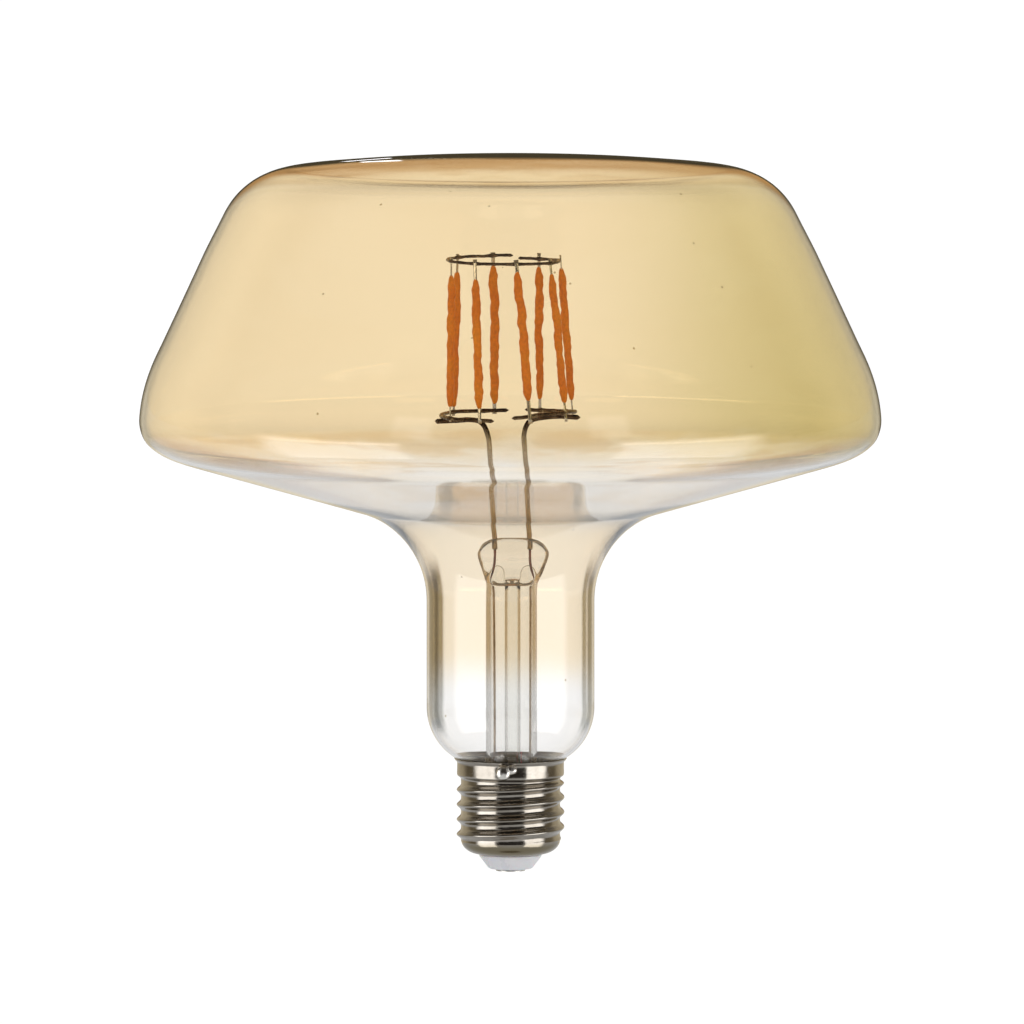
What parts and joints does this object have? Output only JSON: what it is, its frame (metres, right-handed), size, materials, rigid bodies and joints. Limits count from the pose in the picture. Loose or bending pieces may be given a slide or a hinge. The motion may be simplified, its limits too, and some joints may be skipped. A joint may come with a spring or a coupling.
{
  "type": "smart light bulb",
  "caption": "Decorative LED filament bulb: a wide drum-shaped amber glass on a slim neck, a filament cage inside, and a screw cap.",
  "frame": {"origin": "middle of the centre contact's flat end, the lowest point of the bulb as it stands cap down", "axes": "+Z along the bulb's axis, from the centre contact to the crown of the glass; -Y towards the solder drop on the skirt of the cap; +X to the right as seen from -Y"},
  "size_m": [0.1804, 0.1804, 0.1733],
  "materials": {
    "amber_glass": "amber-coated blown glass",
    "clear_glass": "clear drawn glass",
    "nickel_plate": "bright nickel plate on rolled brass",
    "support_wire": "nickel-iron wire browned by the sealing flame",
    "sealing_copper": "copper-clad sealing wire",
    "tinned_copper": "tinned copper",
    "tin": "tin plate and solder",
    "phosphor": "orange silicone phosphor",
    "white_plastic": "white moulded plastic",
    "cement": "dull brown-grey cement",
    "board_green": "green glass-fibre laminate",
    "black_resin": "black moulded resin",
    "capacitor_sleeve": "dark blue plastic sleeve",
    "ferrite": "dark grey ferrite",
    "resistor_coat": "blue lacquer",
    "wire_insulation": "red silicone insulation"
  },
  "bodies": {
    "root": {"glass_envelope": "amber_glass", "stem_glass": "clear_glass", "exhaust_tube": "clear_glass", "support_lead_left": "support_wire", "sealing_wire_left": "sealing_copper", "stem_wire_left": "tinned_copper", "support_lead_right": "support_wire", "sealing_wire_right": "sealing_copper", "stem_wire_right": "tinned_copper", "lower_arc_left": "support_wire", "lower_arc_right": "support_wire", "upper_ring": "support_wire", "filament_1_strip": "tin", "filament_1_phosphor": "phosphor", "filament_2_strip": "tin", "filament_2_phosphor": "phosphor", "filament_3_strip": "tin", "filament_3_phosphor": "phosphor", "filament_4_strip": "tin", "filament_4_phosphor": "phosphor", "filament_5_strip": "tin", "filament_5_phosphor": "phosphor", "filament_6_strip": "tin", "filament_6_phosphor": "phosphor", "filament_7_strip": "tin", "filament_7_phosphor": "phosphor", "filament_8_strip": "tin", "filament_8_phosphor": "phosphor", "cap_shell": "nickel_plate", "cap_insulator": "white_plastic", "centre_contact": "tin", "capping_cement": "cement", "side_solder": "tin", "neutral_wire": "tinned_copper", "live_wire": "wire_insulation", "fuse_resistor": "resistor_coat", "fuse_jumper": "tin", "driver_board": "board_green", "driver_chip": "black_resin", "bridge_rectifier": "black_resin", "smoothing_capacitor": "capacitor_sleeve", "choke_core": "ferrite", "choke_winding": "tinned_copper", "radio_board": "board_green", "radio_shield": "tin", "antenna_wire": "wire_insulation"}
  },
  "joints": []
}
